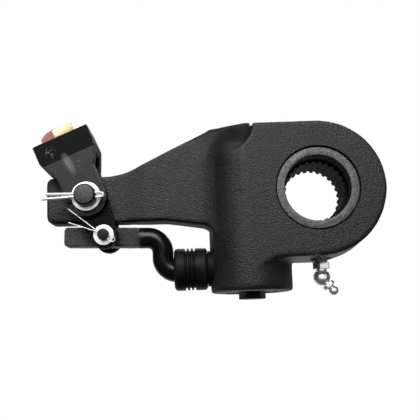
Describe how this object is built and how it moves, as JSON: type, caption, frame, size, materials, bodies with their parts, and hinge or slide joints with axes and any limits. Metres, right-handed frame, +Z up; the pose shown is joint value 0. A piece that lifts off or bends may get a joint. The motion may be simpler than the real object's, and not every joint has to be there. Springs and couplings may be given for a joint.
{
  "type": "brake slack adjuster",
  "caption": "Cast brake slack adjuster: splined worm wheel in a round head, tapered arm with a swinging clevis, and a booted control rod that drives its adjuster.",
  "frame": {"origin": "centre of the splined camshaft bore, on the casting's middle plane", "axes": "+X from the clevis pin to the head, +Z up along the worm shaft away from the adjusting hexagon, +Y along the camshaft to the cover side"},
  "size_m": [0.2144, 0.0541, 0.1152],
  "materials": {
    "casting": "fine pebbled black paint on a rough casting",
    "machined_steel": "turned and broached steel, lightly oiled",
    "bronze": "plain bearing bronze",
    "rubber": "satin black rubber",
    "cover_steel": "pressed steel, oiled",
    "spring_steel": "hard spring steel",
    "black_steel": "black oxide steel",
    "black_forging": "black coated forging, scuffed at the edges",
    "yellow_zinc": "yellow zinc plating with a faint iridescence",
    "pin_steel": "dark turned steel",
    "bright_zinc": "bright zinc plating"
  },
  "bodies": {
    "housing": {"housing": "casting", "arm_bushing": "bronze", "front_seal": "rubber", "rear_cover": "cover_steel", "rear_seal": "rubber", "cover_ring": "spring_steel", "upper_thrust_washer": "bronze", "lower_thrust_washer": "bronze", "shaft_retainer": "black_steel", "shaft_seal": "rubber", "rod_guide": "black_steel", "boot": "rubber", "grease_fitting": "bright_zinc", "grease_nipple": "bright_zinc", "grease_check_ball": "spring_steel"},
    "worm_wheel": {"worm_wheel": "machined_steel"},
    "worm_shaft": {"worm": "machined_steel", "adjusting_shaft": "black_steel", "worm_key": "spring_steel"},
    "pinion": {"pinion": "machined_steel", "clutch_spring": "spring_steel"},
    "rack": {"rack": "machined_steel", "rack_pin": "spring_steel"},
    "control_rod": {"control_rod": "black_forging"},
    "clevis": {"clevis": "black_forging", "lock_nut": "yellow_zinc", "clevis_pin": "pin_steel", "clevis_pin_washer": "bright_zinc", "clevis_cotter": "bright_zinc", "link_pin": "pin_steel", "link_pin_washer": "bright_zinc", "link_cotter": "bright_zinc"}
  },
  "joints": [
    {"name": "wheel_spin", "type": "hinge", "parent": "housing", "child": "worm_wheel", "pos_m": [0, 0, 0], "axis": [0, 1, 0], "continuous": true},
    {"name": "worm_spin", "type": "hinge", "parent": "housing", "child": "worm_shaft", "pos_m": [-0.041, 0, 0], "axis": [0, 0, 1], "continuous": true},
    {"name": "clevis_swing", "type": "hinge", "parent": "housing", "child": "clevis", "pos_m": [-0.1397, 0, 0], "axis": [0, 1, 0], "range_deg": [-4, 22]},
    {"name": "rack_slide", "type": "slide", "parent": "housing", "child": "rack", "axis": [1, 0, 0], "range_m": [-0.00867, 0.00158], "deforming": ["boot"]},
    {"name": "rod_swing", "type": "hinge", "parent": "rack", "child": "control_rod", "pos_m": [-0.072, 0, -0.0446], "axis": [0, 1, 0], "range_deg": [-2.24, 0.41]},
    {"name": "pinion_spin", "type": "hinge", "parent": "housing", "child": "pinion", "pos_m": [-0.041, 0, 0], "axis": [0, 0, 1], "range_deg": [-14.31, 78.72]}
  ],
  "couplings": [
    {"joint": "worm_spin", "follows": "wheel_spin", "ratio": -24},
    {"joint": "rack_slide", "follows": "clevis_swing", "m_per_rad": -0.0221},
    {"joint": "rod_swing", "follows": "clevis_swing", "ratio": -0.1},
    {"joint": "pinion_spin", "follows": "clevis_swing", "ratio": 3.5079}
  ]
}
